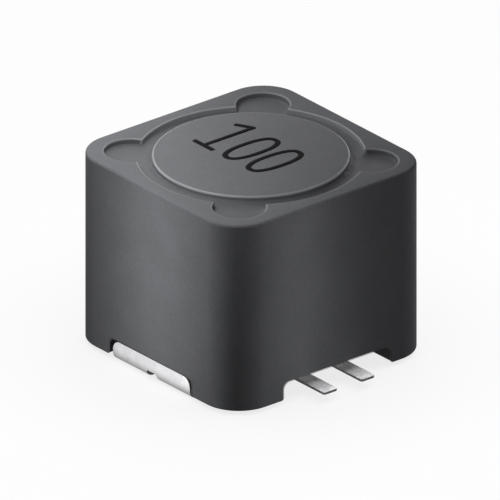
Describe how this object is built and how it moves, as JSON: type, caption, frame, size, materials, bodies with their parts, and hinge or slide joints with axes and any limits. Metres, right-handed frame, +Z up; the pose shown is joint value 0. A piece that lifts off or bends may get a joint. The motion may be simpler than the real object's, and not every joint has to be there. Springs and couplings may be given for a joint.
{
  "type": "shielded smd inductor",
  "caption": "Square ferrite-shielded surface-mount power inductor: wound drum core bonded in a shield, on two stamped solder terminals.",
  "frame": {"origin": "middle of the footprint, on the board, at the undersides of the two solder feet", "axes": "+Z up from the board; the solder feet lie along -Y and +Y; the ends of the terminals' strips stick out along +X and -X; the figures on top read along +X"},
  "size_m": [0.0144, 0.012, 0.0098],
  "materials": {
    "ferrite_shield": "ground and tumbled sintered ferrite, satin",
    "ferrite_drum": "sintered ferrite, satin",
    "enamelled_copper": "clear enamel over copper",
    "tinned_copper": "matte tin plate",
    "solder": "bright solder",
    "bonding_epoxy": "cured epoxy",
    "gap_epoxy": "filled grey epoxy",
    "marking_ink": "printed ink"
  },
  "bodies": {
    "root": {"shield_core": "ferrite_shield", "drum_core": "ferrite_drum", "winding": "enamelled_copper", "terminal_front": "tinned_copper", "terminal_back": "tinned_copper", "solder_front": "solder", "solder_back": "solder", "bond_front": "bonding_epoxy", "bond_back": "bonding_epoxy", "gap_adhesive": "gap_epoxy", "value_code": "marking_ink"}
  },
  "joints": []
}
